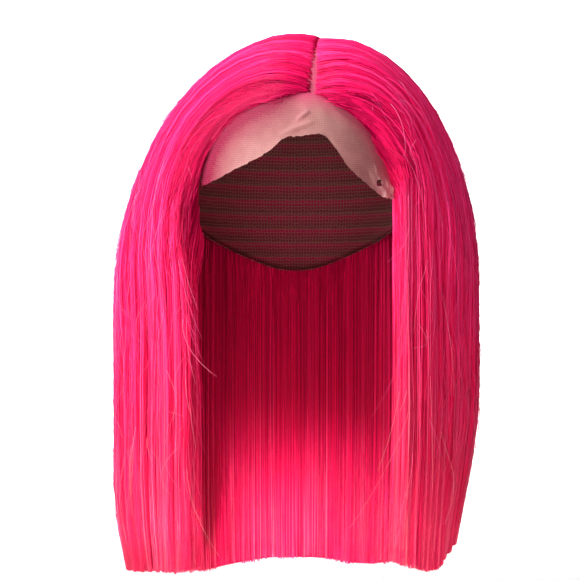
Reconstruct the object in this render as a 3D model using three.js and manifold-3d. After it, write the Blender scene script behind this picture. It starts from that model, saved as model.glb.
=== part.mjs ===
// A straight, blunt-cut hair wig with a parting and a trimmed lace front, in the form that it has when worn.
// Millimetres, +Z up. The face opening looks along -Y, and +X is on the right of someone who looks into it.
// The origin is the inside of the cap's crown, where the top of a head touches it.
// Azimuth is in degrees round the Z axis from the face: positive on the +X side, 180 at the nape.
// Polar angle is in degrees down from the crown, seen from the middle of the head.

import * as THREE from "three";
import { mergeVertices } from "three/addons/utils/BufferGeometryUtils.js";
import Module from "manifold-3d";

const wasm = await Module();
wasm.setup();

const { abs, atan2, cos, exp, hypot, PI, sin, sqrt } = Math;
const { clamp, degToRad, lerp, radToDeg, smoothstep } = THREE.MathUtils;

// Driving dimensions

const HEAD = { halfWidth: 75, front: 92, back: 98, rise: 95 }; // semi-axes of the cap's inside
const GAP = 0.3; // between pieces that lie on each other
const CAP_WALL = 1.2;
const LACE_WALL = 1.4;
const LACE_SEAT = CAP_WALL + GAP; // the lace lies on the cap
const FACET_SAG = 0.6; // how far the flat facets of the head's room fall short of its curve
const HAIR_SEAT = LACE_SEAT + LACE_WALL + GAP + FACET_SAG; // the hair lies on the lace

const PART = { crownX: 16, lean: 0.07 }; // the parting runs off centre, nearer the middle at the forehead
const PART_DIP = { depth: 6, reach: 9 }; // the hair rises beside the parting
const PLAN = { halfWidth: 121, halfDepth: 100, centreY: 12 }; // outline of the hanging hair from above
const ROOT_DEPTH = 22; // the hair's underside starts this far below its top at the parting
const SIDE_LIFT = 2; // the -X side stands higher at the top, the +X side lower
const SHORT_ARC = { lift: 44, from: 36, to: 66 }; // beside the face, the +X hair hangs plumb from higher up
// The hem draws in, more on the +X side, little beside the face, and less on the hair's underside.
const HEM_INSET = { start: 0.3, mean: 14, side: 8, atFace: 0.15, underside: 0.4 };

const FACE_EDGE = { left: -36, right: 32 }; // azimuth of the hair's free edges beside the face
const BACK_SEAM = 115; // azimuth where the side hair meets the back hair
const SEAM_HALF_GAP = 0.2; // degrees

// Grids that the pieces are faceted on.
const CAP_GRID = { rings: 9, segments: 32 };
const ROOM_GRID = { rings: 20, segments: 32 };
const LACE_GRID = { columns: 26, rows: 6 };
const ARM_GRID = { columns: 4, rows: 14 };
// Rows of the hair's grid: those that arc over the head crowd towards the parting, the rest hang plumb.
const ARC_ROWS = 8;
const ARC_CROWDING = 1.4;
const PLUMB_ROWS = 4;
const HAIR_ROWS = ARC_ROWS + PLUMB_ROWS;

// A lock stands out from the hair's backing, with its edges and foot sunk into it. It starts a part of a row
// away from the parting and ends below the backing's hem.
const LOCK = { rise: 3.2, riseAtRoot: 1, sunkEdge: 1.2, footing: 3.5, width: 0.96, tipWidth: 0.78 };
const LOCK_COLUMNS = 4;
const LOCK_START = 0.45;
const LOCK_TIPS = [3, 6, 2, 5, 7, 3, 4]; // lengths below the hem, taken in turn

// One row for each section of the hair: where its strands leave the parting, how far they bow out over the
// head, the height where they hang plumb, the thickness of the hair there and the height of its hem. The last
// row carries the curve on past the nape.
const HAIR_SECTIONS = [
  { azimuth: 35, rootX: 1.2, rootY: -80, rootZ: -33, bow: 9, plumbZ: -144, wall: 15, hemZ: -328 },
  { azimuth: 48, rootX: 1.2, rootY: -62, rootZ: -12, bow: 7, plumbZ: -158, wall: 23, hemZ: -329 },
  { azimuth: 64, rootX: 1.2, rootY: -37, rootZ: 5, bow: 4, plumbZ: -166, wall: 31, hemZ: -331 },
  { azimuth: 90, rootX: 1.2, rootY: -2, rootZ: 11, bow: 1.5, plumbZ: -165, wall: 36, hemZ: -334 },
  { azimuth: 115, rootX: 2, rootY: 29, rootZ: 9, bow: 1, plumbZ: -150, wall: 33, hemZ: -338 },
  { azimuth: 148, rootX: 4, rootY: 38, rootZ: 6, bow: 0, plumbZ: -125, wall: 28, hemZ: -344 },
  { azimuth: 180, rootX: 0, rootY: 42, rootZ: 4, bow: 0, plumbZ: -114, wall: 26, hemZ: -346 },
  { azimuth: 212, rootX: -4, rootY: 38, rootZ: 6, bow: 0, plumbZ: -125, wall: 28, hemZ: -344 },
];

// The cap's rim: high over the forehead, round the ears and low at the nape. The first and last rows carry
// the curve on past the middle.
const CAP_RIM = [
  { azimuth: -30, polar: 66 },
  { azimuth: 0, polar: 56 },
  { azimuth: 30, polar: 66 },
  { azimuth: 52, polar: 84 },
  { azimuth: 90, polar: 94 },
  { azimuth: 135, polar: 110 },
  { azimuth: 180, polar: 121 },
  { azimuth: 225, polar: 110 },
];

// The lace's trimmed edge over the forehead, cut in a high notch in the middle and left long at the temples.
const LACE_TRIM = [
  { azimuth: -50, polar: 89.5 },
  { azimuth: -39, polar: 87 },
  { azimuth: -23, polar: 82 },
  { azimuth: -12, polar: 77.5 },
  { azimuth: -6, polar: 73.2 },
  { azimuth: 0, polar: 72.5 },
  { azimuth: 10, polar: 71.5 },
  { azimuth: 14, polar: 72.5 },
  { azimuth: 19, polar: 77.5 },
  { azimuth: 24, polar: 83.3 },
  { azimuth: 32, polar: 88.3 },
  { azimuth: 42, polar: 93 },
  { azimuth: 54, polar: 94 },
];
const LACE_LAP = 13; // degrees of lace that lie on the cap
const PART_STRIP = { halfWidth: 9, frontY: -71, backY: 44, inset: 0.2 }; // the lace's arm under the parting
const LACE_FOLD = { from: [9, 61], to: [-11, 73], rise: 1.6, halfWidth: 2.2 }; // ends by azimuth and polar

// The value of a column at a place along a table, on a smooth curve through its rows.
function valueAt(rows, column, azimuth) {
  const last = rows.length - 1;
  const next = rows.findIndex((row) => row.azimuth > azimuth);
  const i = clamp(next < 0 ? last - 1 : next - 1, 0, last - 1);
  const slope = (a, b) => (rows[b][column] - rows[a][column]) / (rows[b].azimuth - rows[a].azimuth);
  const width = rows[i + 1].azimuth - rows[i].azimuth;
  const t = clamp((azimuth - rows[i].azimuth) / width, 0, 1);
  const startSlope = slope(Math.max(i - 1, 0), i + 1) * width;
  const endSlope = slope(i, Math.min(i + 2, last)) * width;
  return (
    (2 * t ** 3 - 3 * t ** 2 + 1) * rows[i][column] +
    (t ** 3 - 2 * t ** 2 + t) * startSlope +
    (3 * t ** 2 - 2 * t ** 3) * rows[i + 1][column] +
    (t ** 3 - t ** 2) * endSlope
  );
}

// Solids

// A closed geometry's vertices, moved through a map, as a solid whose faces point out.
function warpedSolid(geometry, map) {
  const position = geometry.getAttribute("position").clone();
  const point = new THREE.Vector3();
  for (let i = 0; i < position.count; i++) {
    position.setXYZ(i, ...map(point.fromBufferAttribute(position, i)));
  }
  const shaped = new THREE.BufferGeometry().setAttribute("position", position).setIndex(geometry.index);
  const merged = mergeVertices(shaped, 1e-3);
  const [a, b, c] = [0, 1, 2].map((corner) => merged.index.array.filter((_, i) => i % 3 === corner));
  const faces = Array.from(a, (_, i) => [a[i], b[i], c[i]]).filter((face) => new Set(face).size === 3);
  const vertProperties = merged.getAttribute("position").array;
  const solid = (triangles) => {
    const triVerts = new Uint32Array(triangles.flat());
    return new wasm.Manifold(new wasm.Mesh({ numProp: 3, vertProperties, triVerts }));
  };
  const made = solid(faces);
  return made.volume() > 0 ? made : solid(faces.map((face) => face.reverse()));
}

function meshOf(name, solid, material) {
  const { numProp, vertProperties, triVerts } = solid.getMesh();
  const vertices = new THREE.InterleavedBuffer(vertProperties, numProp);
  const geometry = new THREE.BufferGeometry();
  geometry.setAttribute("position", new THREE.InterleavedBufferAttribute(vertices, 3, 0));
  geometry.setIndex(new THREE.BufferAttribute(triVerts, 1));
  const mesh = new THREE.Mesh(geometry, material);
  mesh.name = name;
  return mesh;
}

// A block from 0 to 1 along each axis, cut into a grid over X and Y. Z is its depth.
function unitBlock(columns, rows) {
  return new THREE.BoxGeometry(1, 1, 1, columns, rows, 1).translate(0.5, 0.5, 0.5);
}

// Head form, cap and lace

// A point on the head's form, some distance out from it.
function headPoint(azimuth, polar, outwards) {
  const turn = degToRad(azimuth);
  const down = degToRad(polar);
  const length = cos(turn) > 0 ? HEAD.front : HEAD.back;
  return [
    (HEAD.halfWidth + outwards) * sin(down) * sin(turn),
    -(length + outwards) * sin(down) * cos(turn),
    (HEAD.rise + outwards) * cos(down) - HEAD.rise,
  ];
}

// The point of the head's form over a place in plan, some distance out from it.
function crownPoint(x, y, outwards) {
  const across = x / (HEAD.halfWidth + outwards);
  const along = y / ((y < 0 ? HEAD.front : HEAD.back) + outwards);
  return [x, y, (HEAD.rise + outwards) * sqrt(1 - across ** 2 - along ** 2) - HEAD.rise];
}

// A wall from the crown down to the rim. The lathe turns a flat disc of two layers: its radius becomes the
// share of the way to the rim, and its height the distance out from the head.
function capSolid() {
  const { rings, segments } = CAP_GRID;
  const shares = Array.from({ length: rings + 1 }, (_, i) => i / rings);
  const inside = shares.map((share) => new THREE.Vector2(share, 0));
  const outside = shares.map((share) => new THREE.Vector2(share, CAP_WALL)).reverse();
  return warpedSolid(new THREE.LatheGeometry([...inside, ...outside], segments), ({ x, y, z }) => {
    const azimuth = radToDeg(atan2(x, z));
    return headPoint(azimuth, hypot(x, z) * valueAt(CAP_RIM, "polar", abs(azimuth)), y);
  });
}

// The room that the head, the cap and the lace take, which the hair keeps clear of.
function headRoom() {
  return warpedSolid(new THREE.SphereGeometry(1, ROOM_GRID.segments, ROOM_GRID.rings), ({ x, y, z }) =>
    headPoint(radToDeg(atan2(x, z)), radToDeg(atan2(hypot(x, z), y)), HAIR_SEAT),
  );
}

// How far the lace stands off along its fold: a ridge that is highest halfway between the fold's ends.
function foldRise(azimuth, polar) {
  const { from, to, rise, halfWidth } = LACE_FOLD;
  const along = [to[0] - from[0], to[1] - from[1]];
  const offset = [azimuth - from[0], polar - from[1]];
  const length = hypot(...along);
  const share = (offset[0] * along[0] + offset[1] * along[1]) / length ** 2;
  const aside = (offset[0] * along[1] - offset[1] * along[0]) / length;
  return rise * sin(PI * clamp(share, 0, 1)) * exp(-((aside / halfWidth) ** 2));
}

// The band over the forehead, from its lap on the cap to the trimmed edge, and its arm under the parting.
function laceSolid() {
  const [first, last] = [LACE_TRIM[0].azimuth, LACE_TRIM.at(-1).azimuth];
  const band = warpedSolid(unitBlock(LACE_GRID.columns, LACE_GRID.rows), ({ x, y, z }) => {
    const azimuth = lerp(first, last, x);
    const top = valueAt(CAP_RIM, "polar", abs(azimuth)) - LACE_LAP;
    const polar = lerp(top, valueAt(LACE_TRIM, "polar", azimuth), y);
    return headPoint(azimuth, polar, LACE_SEAT + z * LACE_WALL + foldRise(azimuth, polar));
  });
  const { halfWidth, frontY, backY, inset } = PART_STRIP;
  const arm = warpedSolid(unitBlock(ARM_GRID.columns, ARM_GRID.rows), ({ x, y, z }) =>
    crownPoint(
      PART.crownX + PART.lean * lerp(frontY, backY, y) + lerp(-halfWidth, halfWidth, x),
      lerp(frontY, backY, y),
      LACE_SEAT + lerp(inset, LACE_WALL - inset, z),
    ),
  );
  return band.add(arm);
}

// Hair

// The place of a row of the hair's grid: 0 at the parting, 1 where the strands hang plumb, 2 at the hem.
function rowPlace(row) {
  return row < ARC_ROWS ? (row / ARC_ROWS) ** ARC_CROWDING : 1 + (row - ARC_ROWS) / PLUMB_ROWS;
}

// An azimuth's angle from the face on either side, as the tables have it.
function fromFace(azimuth) {
  return abs(azimuth > 180 ? azimuth - 360 : azimuth);
}

// The height where the strands at an azimuth start to hang plumb.
function plumbHeight(azimuth) {
  const turned = 1 - smoothstep(azimuth, SHORT_ARC.from, SHORT_ARC.to);
  const lift = azimuth > 0 && azimuth < 180 ? SHORT_ARC.lift * turned : 0;
  return valueAt(HAIR_SECTIONS, "plumbZ", fromFace(azimuth)) + lift;
}

// A point in the hair: depth runs from its underside (0) to its outside (1). A strand arcs over the head as a
// quarter of an ellipse, from the parting to the outline in plan, and then hangs plumb.
function hairPoint(azimuth, place, depth) {
  const row = (column) => valueAt(HAIR_SECTIONS, column, fromFace(azimuth));
  const turn = degToRad(azimuth);
  const side = sin(turn); // -1 on the -X side, 1 on the +X side
  const curve = (clamp(place, 0, 1) * PI) / 2;
  const hang = place - 1;

  const rootX = PART.crownX + PART.lean * row("rootY") + Math.sign(side) * row("rootX");
  const root = new THREE.Vector2(rootX, row("rootY"));
  const plan = new THREE.Vector2(PLAN.halfWidth * side, PLAN.centreY - PLAN.halfDepth * cos(turn));
  const normal = new THREE.Vector2(side / PLAN.halfWidth, -cos(turn) / PLAN.halfDepth).normalize();
  const reach = plan.sub(root).multiplyScalar(sin(curve));
  const inset =
    (HEM_INSET.mean + HEM_INSET.side * side) *
    lerp(HEM_INSET.atFace, 1, smoothstep(fromFace(azimuth), FACE_EDGE.right, 75)) *
    lerp(HEM_INSET.underside, 1, depth) *
    smoothstep(hang, HEM_INSET.start, 1.1);
  const outwards = row("bow") * sin(2 * curve) - inset - (1 - depth) * row("wall") * sin(curve);

  const dip = PART_DIP.depth * exp(-((reach.length() / PART_DIP.reach) ** 2));
  const top = row("rootZ") - SIDE_LIFT * side - (1 - depth) * ROOT_DEPTH;
  const plumb = plumbHeight(azimuth);
  const over = lerp(plumb, top, cos(curve)) - depth * dip;
  const spot = root.add(reach).addScaledVector(normal, outwards);
  return [spot.x, spot.y, hang > 0 ? lerp(plumb, row("hemZ"), hang) : over];
}

// A strip that stands out from the hair between two azimuths, round across.
function lockSolid(from, to, tip) {
  const middle = (from + to) / 2;
  const hangLength = plumbHeight(middle) - valueAt(HAIR_SECTIONS, "hemZ", fromFace(middle));
  const rows = HAIR_ROWS + 1;
  return warpedSolid(unitBlock(LOCK_COLUMNS, rows), ({ x, y, z }) => {
    const row = Math.round(y * rows);
    const isTip = row === rows;
    const place = isTip ? 2 + tip / hangLength : rowPlace(Math.max(row, LOCK_START));
    const azimuth = lerp(from, to, 0.5 + (x - 0.5) * (isTip ? LOCK.tipWidth : LOCK.width));
    const rise = lerp(LOCK.riseAtRoot, LOCK.rise, place / 2) + LOCK.sunkEdge;
    const outside = rise * sin(PI * x) - LOCK.sunkEdge;
    const wall = valueAt(HAIR_SECTIONS, "wall", fromFace(azimuth));
    return hairPoint(azimuth, place, 1 + lerp(-LOCK.footing, outside, z) / wall);
  });
}

// A thickness of hair between two azimuths, with its locks fused on and the head's room cut out.
function hairSolid(from, to, lockCount) {
  const azimuthAt = (share) => lerp(from, to, share);
  const backing = warpedSolid(unitBlock(2 * lockCount, HAIR_ROWS), ({ x, y, z }) =>
    hairPoint(azimuthAt(x), rowPlace(Math.round(y * HAIR_ROWS)), z),
  );
  const locks = Array.from({ length: lockCount }, (_, i) =>
    lockSolid(azimuthAt(i / lockCount), azimuthAt((i + 1) / lockCount), LOCK_TIPS[i % LOCK_TIPS.length]),
  );
  return locks.reduce((hair, lock) => hair.add(lock), backing).subtract(headRoom());
}

// Assembly

const hairPink = new THREE.MeshStandardMaterial({ color: 0xf5246f, roughness: 0.42, metalness: 0 });
const laceTan = new THREE.MeshStandardMaterial({ color: 0xd9a48f, roughness: 0.8, metalness: 0 });
const capBeige = new THREE.MeshStandardMaterial({ color: 0xb98a6c, roughness: 0.9, metalness: 0 });

const sideSeam = BACK_SEAM - SEAM_HALF_GAP;
const backSeam = BACK_SEAM + SEAM_HALF_GAP;

const wig = new THREE.Group();
wig.add(
  meshOf("cap", capSolid(), capBeige),
  meshOf("lace_front", laceSolid(), laceTan),
  meshOf("hair_left", hairSolid(FACE_EDGE.left, -sideSeam, 6), hairPink),
  meshOf("hair_right", hairSolid(FACE_EDGE.right, sideSeam, 6), hairPink),
  meshOf("hair_back", hairSolid(backSeam, 360 - backSeam, 8), hairPink),
);

export default wig;
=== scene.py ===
"""Looks of a straight, blunt-cut, hot-pink lace-front wig, in the form that it has when worn.

+Z is up, the face opening looks along -Y, and the origin is the inside of the cap's crown. Sizes and shape
functions are in millimetres, and meshes are made in metres. Azimuth is in degrees round the Z axis from the
face opening, positive on the +X side, 180 at the nape. Polar angle is in degrees down from the crown, seen
from the middle of the cap's form. A place along a strand is 0 at the parting, 1 where the hair hangs plumb
and 2 at the hem. A share u across a section of hair is 0 at its first azimuth and 1 at its last.
"""

import bmesh
import bpy
import numpy as np
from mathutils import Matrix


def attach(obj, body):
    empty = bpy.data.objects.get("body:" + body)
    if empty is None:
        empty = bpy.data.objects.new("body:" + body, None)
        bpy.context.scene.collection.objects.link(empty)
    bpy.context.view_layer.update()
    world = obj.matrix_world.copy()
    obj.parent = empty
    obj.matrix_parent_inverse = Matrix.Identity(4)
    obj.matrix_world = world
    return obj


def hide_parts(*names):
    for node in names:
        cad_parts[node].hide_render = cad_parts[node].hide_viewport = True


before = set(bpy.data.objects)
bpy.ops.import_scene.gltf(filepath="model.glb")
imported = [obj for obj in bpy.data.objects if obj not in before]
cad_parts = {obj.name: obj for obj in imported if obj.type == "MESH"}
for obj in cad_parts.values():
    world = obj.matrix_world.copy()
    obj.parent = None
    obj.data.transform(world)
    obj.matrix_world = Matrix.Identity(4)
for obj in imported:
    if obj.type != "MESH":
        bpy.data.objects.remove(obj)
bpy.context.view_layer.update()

MM = 0.001
SEED = 20

# Cap and lace

CAP_FORM = {"half_width": 75.0, "front": 92.0, "back": 98.0, "rise": 95.0}
CAP_RIM = {
    "azimuth": [-30, 0, 30, 52, 90, 135, 180, 225],
    "polar": [66, 56, 66, 84, 94, 110, 121, 110],
}
CAP_WALL = {"outside": 1.2, "inside": 0.6, "turned_edge": 0.5, "edge_starts": (0.93, 0.96)}
CAP_GRID = (145, 44)
CAP_FLAT = {"size": (0.28, 0.30), "area": 0.055, "radii": (80, 95)}
LACE_SEAT = 1.5
LACE_WALL = 1.4
LACE_LIFT = LACE_SEAT + LACE_WALL / 2
LACE_TRIM = {
    "azimuth": [-50, -39, -23, -12, -6, 0, 10, 14, 19, 24, 32, 42, 54],
    "polar": [89.5, 87, 82, 77.5, 73.2, 72.5, 71.5, 72.5, 77.5, 83.3, 88.3, 93, 94],
}
LACE_LAP = 13
LACE_GRID = (261, 50)
LACE_SEED = 90
LACE_NOTCH = {"size": 0.3, "cells": (150, 1)}
LACE_RIPPLE = {"rise": 0.15, "cells": (14, 6)}
LACE_FOLDS = [
    {"begin": (9, 66.6), "end": (-9.5, 72), "rise": 1.2, "half_width": 0.8},
    {"begin": (7, 62), "end": (-0.5, 66.1), "rise": 1.2, "half_width": 0.8},
    {"begin": (-14, 66), "end": (-34, 80), "rise": 0.5, "half_width": 2.5},
]
LACE_TAB = {"azimuth": (34.0, 42.0), "share": (0.6, 0.92), "rise": 1.6, "creases": (64, 18), "worn": 0.85}
LACE_HOLE = {"azimuth": 40.2, "polar": 88.5, "radius": 1.3}
LACE_FLAT = {"size": (0.20, 0.17), "area": 0.0125, "radii": (85, 95)}
PART_STRIP = {"half_width": 9.0, "front_y": -71.0, "back_y": 44.0, "grid": (16, 60)}

# Form of the hair

PART = {"crown_x": 16.0, "lean": 0.07}
PART_RISE = {"height": 6.0, "front_y": (-76.0, -40.0), "back_y": (28.0, 44.0), "aside": (5.0, 22.0)}
PLAN = {"half_width": 120.3, "half_depth": 100.0, "centre_y": 12.0}
HAIR_SEAT = 2.6
ROOT_DEPTH = 22.0
ROOT_SEAT = 0.3
SIDE_LIFT = 1.6
SHORT_ARC = {"lift": 44.0, "ends": (36.0, 66.0)}
LONG_ARC = {"drop": 14.0, "starts": (55.0, 85.0), "ends": (115.0, 160.0)}
HEM_INSET = {"left": 11.0, "right": 18.5, "at_face": 0.15, "grows": (32.0, 75.0), "underside": 0.4}
HEM_INSET_REACH = {"left": (0.7, 1.15), "right": (0.34, 1.3)}
HEM_RISE = {
    "azimuth": [-180, -168, -150, -135, -115, -90, -60, -36, 30, 46, 52, 60, 72, 84, 110, 135, 150, 168, 180],
    "rise": [0, -0.5, -5, -9, -9, -7, -3, 0, 5.5, 0, 0, 5, 9, 11, 5, -3, -4, -0.5, 0],
}
HAIR_SECTIONS = {
    "azimuth": [35, 48, 64, 90, 115, 148, 180, 212],
    "root_x": [3.8, 1.8, 1.2, 1.0, 2, 4, 0, -4],
    "root_y": [-80, -62, -37, -2, 29, 38, 42, 38],
    "root_z": [-33.5, -12.5, 4.5, 10.4, 8.5, 6, 4, 6],
    "bow": [9, 7, 4.6, 2.5, 1.6, 0, 0, 0],
    "plumb_z": [-144, -158, -166, -165, -150, -125, -114, -125],
    "wall": [15, 23, 31, 36, 33, 28, 26, 28],
    "hem_z": [-328, -329, -331, -334, -338, -344, -346, -344],
}
SECTIONS = {
    "left": {"azimuths": (-36.0, -115.0), "locks": 6, "over_lace": (0.4, 1.05), "fuzz": 0.02},
    "right": {"azimuths": (32.0, 115.0), "locks": 6, "over_lace": (0.35, 1.2), "fuzz": 0.015},
    "back": {"azimuths": (115.0, 245.0), "locks": 8},
}
HAIRLINES = {
    "left": {
        "place": [0, 0.1, 0.2, 0.35, 0.55, 0.75, 1.0, 1.25, 1.8, 2.03],
        "azimuth": [-30, -32, -35, -38.5, -41, -39, -35, -34, -34, -34],
    },
    "right": {
        "place": [0, 0.15, 0.3, 0.7, 1.0, 1.5, 1.8, 2.03],
        "azimuth": [27, 28, 31, 33.5, 34.5, 35.5, 35, 34],
    },
}
HAIRLINE_ROUNDING = 0.26
EDGE_ROUNDING = {"left": 0.05, "right": 0.12, "depth": 0.75}
EDGE_SLANT = {"left": 0.06, "right": 0.0, "back": 0.0}
MEETING_EDGE = 0.04
LOCKS = {"rise": 1.3, "valley": 0.3, "wander": 0.025, "cells": (7, 3)}
CLUMPS = [{"rise": 1.1, "cells": (16, 2)}, {"rise": 0.7, "cells": (44, 3)}, {"rise": 0.4, "cells": (120, 4)}]
RELIEF_STARTS = (0.0, 0.35)
NOISE_PLACES = 2.2
UV_PLACES = 2.1
MASS = {
    "columns_a_degree": 1.7,
    "arc_rows": 30,
    "plumb_rows": 15,
    "first_place": 0.01,
    "end": 2.012,
    "sink": 2.9,
    "sinks_over": (-0.1, 0.2),
    "least_wall": 0.5,
    "leaves_cap_over": (0.0, 0.1),
    "underside": 0.04,
}

# Strands, where a pair is a range, a start and an end, or for the tone of loose strands a mean and a spread

ROOT_REACH = (0.13, 0.24)
ROOT_CROSSING = 2.2
# Painted shade on the hair along the hairline, by side, how far it reaches across and where it fades along
ROOT_SHADE = {"left": 0.85, "right": 0.35, "reach": 0.3, "fades": (0.45, 0.85)}
# Painted shade on the hair's underside, and where it fades
INSIDE_SHADE = {"most": 0.4, "fades": (1.1, 1.9)}
ARC_CROWDING = 1.6
TONE_LIMITS = (0.01, 0.99)
WISPS = {"in_lock": 16, "in_clump": 2, "aside": 0.35, "ragged": 0.006}
GATHER_TO_WISP = {"share": (0.1, 0.65), "over": (0.15, 1.0)}
GATHER_TO_CLUMP = {"share": 0.35, "over": (0.4, 1.9)}
SWAY = {"strand": 0.012, "wisp": 0.004, "clump": 0.012, "starts": (0.1, 0.8)}
BENDS = {"strand": 5, "wisp": 14, "clump": 3}
TOP = {
    "count": {"left": 1600, "right": 1600, "back": 1500},
    "steps": (14, 6),
    "from_parting": 0.66,
    "lower_start": (0.05, 0.7),
    "short_share": 0.1,
    "shorter": (0.0, 0.2),
    "ragged": 0.004,
    "end": 2.028,
    "layer": (-2.2, 0.2),
    "own_layer": 0.65,
    "layers_part_over": (-0.05, 0.25),
    "rise": 0.5,
    "sunk_start": 4.0,
    "comes_out_over": 0.25,
    "radius": (0.22, 0.36),
    "taper": (1, 0.7),
    "tone": 0.56,
    # How much darker deeper layers are: a painted shade
    "painted_shade_of_layer": 0.16,
    "palest": 0.86,
}
TONE_SPREAD = {"clump": 0.08, "wisp": 0.1, "strand": 0.14}
UNDERSIDE = {
    "count": 1300,
    "seed": 30,
    "from_nape": (-142, 142),
    "start": (0.75, 0.95),
    "end": 2.015,
    "uneven": 0.006,
    "uneven_cells": (60, 1),
    "ragged": 0.004,
    "points": 9,
    "bends": 3,
    "azimuth_wander": 0.8,
    "depth": (-0.05, 0.1),
    "depth_wander": 0.02,
    "radius": (0.3, 0.5),
    "taper": (1, 0.7),
    "tone": (0.6, 0.15),
}
FACE_EDGE = {
    "count": 900,
    "seed": 40,
    "start": (0.5, 0.9),
    "end": 2.02,
    "ragged": 0.02,
    "steps": (6, 5),
    "bends": 4,
    "across": (-0.006, 0.02),
    "across_wander": 0.014,
    "flaring_share": 0.06,
    "flare": 0.02,
    "flares_over": (0.8, 1.5),
    "depth": (0.0, 0.9),
    "depth_wander": 0.06,
    "leaves_lace": (0.0, 0.3),
    "radius": (0.2, 0.34),
    "taper": (1, 0.6),
    "tone": (0, 0.15),
    # Tones by side that paint light and shade: darker on the -X side, a painted shade deepest towards the
    # underside, and paler on the +X side, a painted light
    "left_tone_and_painted_shade": (0.2, 0.55),
    "right_tone_and_painted_light": 0.72,
    # Painted shade where the strands leave the lace, and where it fades
    "root_shade": 0.6,
    "shade_fades": (0.65, 1.05),
}
FLYAWAY = {
    "count": 36,
    "seed": 45,
    "points": 11,
    "start": (0.95, 1.75),
    "length": (0.1, 0.4),
    "across": 0.01,
    "least_swing": 0.03,
    "more_swing": 0.06,
    "power": (1.2, 2.5),
    "depth": (0.3, 1.2),
    "rise": 0.4,
    "radius": (0.13, 0.2),
    "taper": (1, 0.5),
    "tone": (0.9, 0.08),
}
HAIRLINE_ROOTS = {
    "count": 1300,
    "seed": 50,
    "points": 8,
    "last_start": 0.7,
    "crowding": 1.4,
    "length": (0.1, 0.34),
    "front": 0.01,
    "across": (0.0, 0.1),
    "gain": 1.3,
    "lift": (-1.0, 0.4),
    "radius": (0.06, 0.12),
    "taper": (0.6, 1),
    # A low tone: painted shade along the hairline
    "tone": (0.12, 0.12),
}
STRAY = {
    "count": 900,
    "seed": 60,
    "points": 9,
    "start": (0.3, 1.6),
    "length": (0.08, 0.4),
    "end": 2.02,
    "slant": 0.05,
    "slant_power": 1.5,
    "bend": 0.03,
    "lift": 0.4,
    "loose": 2.0,
    "arch": (0.6, 1),
    "radius": (0.08, 0.15),
    "taper": (1, 0.5),
    "tone": (0.88, 0.08),
}

# Colours, as linear red, green and blue, at stops along a scale where they are listed with a number

# Pinks by tone. Low tones also serve the painted shade taken off strands' tones by layer, along the hairline
# and on the underside, and the palest stops are partly a painted sheen.
DYE_AND_SHEEN_TONES = [
    (0.0, (0.40, 0.001, 0.045)),
    (0.3, (0.74, 0.004, 0.083)),
    (0.65, (0.93, 0.013, 0.14)),
    (0.9, (1.0, 0.065, 0.28)),
    (1.0, (1.0, 0.2, 0.42)),
]
DYE_ALONG = [
    (0.0, (0.9, 0.95, 1.0)),
    (0.03, (0.97, 1.05, 1.12)),
    (0.35, (1.0, 1.1, 1.1)),
    (0.6, (1.0, 1.1, 0.9)),
    (1.0, (1.0, 2.2, 0.78)),
]
GLOSS_TINT = (1.0, 0.7, 0.85)
LACE_TONES = [(0.3, (0.37, 0.19, 0.16)), (0.7, (0.45, 0.245, 0.205))]
# A deep blush of dyed roots in the lace, darkened with painted shade under the hair's edge
LACE_BLUSH_AND_SHADE = (0.24, 0.006, 0.04)
PARTING_BLUSH = (0.56, 0.07, 0.15)
LACE_WORN = (0.62, 0.33, 0.30)
BLUSH = {
    "at_parting": 0.9,
    "hairline": (0.0, 0.85),
    "seats": 80,
    "full": {"left": (3.0, 9.0), "right": (2.0, 0.0)},
    "none": {"left": (20.0, 43.0), "right": (16.0, 15.0)},
    "reach_changes_over": (0.05, 0.3),
    "power": 1.4,
    "deepens": (4.0, 16.0),
}
CAP_TONES = [
    (0.0, (0.26, 0.15, 0.11)),
    (0.06, (0.10, 0.045, 0.034)),
    (0.14, (0.42, 0.012, 0.075)),
    (0.4, (0.25, 0.012, 0.05)),
    (0.8, (0.12, 0.03, 0.034)),
]
CAP_THREAD = (0.22, 0.11, 0.075)
PAPER = (0.82, 0.82, 0.82)

# Stage, lights and camera, in metres, with each light's place, aim, size, watts, colour and spread in degrees

FLOOR_Z = -0.43
SWEEP = {"front": -3.0, "height": 3.0, "half_width": 4.0}
SWEEP_BEND = {"starts": 1.7, "radius": 0.8, "rows": 24}
SWEEP_WHITENS = (0.25, 1.1)
LIGHTS = {
    "key": ((-1.5, -1.15, 0.42), (0, 0, -0.18), 1.0, 63, (0.97, 0.98, 1.0), 180),
    "fill": ((-0.1, -1.7, -0.25), (0, 0, -0.2), 1.0, 19, (1.0, 0.45, 0.66), 180),
    "low": ((-0.1, -1.4, -0.3), (0, 0.09, -0.37), 0.12, 0.22, (1.0, 0.95, 0.92), 7),
    "top": ((-0.5, -0.3, 1.3), (0, 0, 0), 0.6, 2, (1.0, 0.95, 1.0), 50),
    "back": ((0.4, 1.5, 0.6), (0, 0, -0.15), 1.2, 8, (1.0, 0.97, 1.0), 180),
    "wall": ((0.0, 0.9, 1.4), (0, 2.5, 0.1), 1.4, 34, (1.0, 1.0, 1.0), 110),
}
GLOSS_LIGHTS = ("key", "top")
ROOM_LIGHT = 0.006
ROOM_SEEN = 1.0
CAMERA = {"place": (-0.004, -1.0, -0.158), "focal_px": 1515.0, "frame_px": 580.0, "sensor": 36.0}

# Sockets of a Mix node that take two colours and give their mix

MIX_A, MIX_B, MIX_RESULT = 6, 7, 2


def smoothstep(x, low, high):
    """3t^2 - 2t^3, with t the share of the way from low to high, held between 0 and 1."""
    t = np.clip((x - low) / (high - low), 0, 1)
    return t * t * (3 - 2 * t)


def lerp(a, b, t):
    """The value a share t of the way from a to b."""
    return a + (b - a) * t


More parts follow.
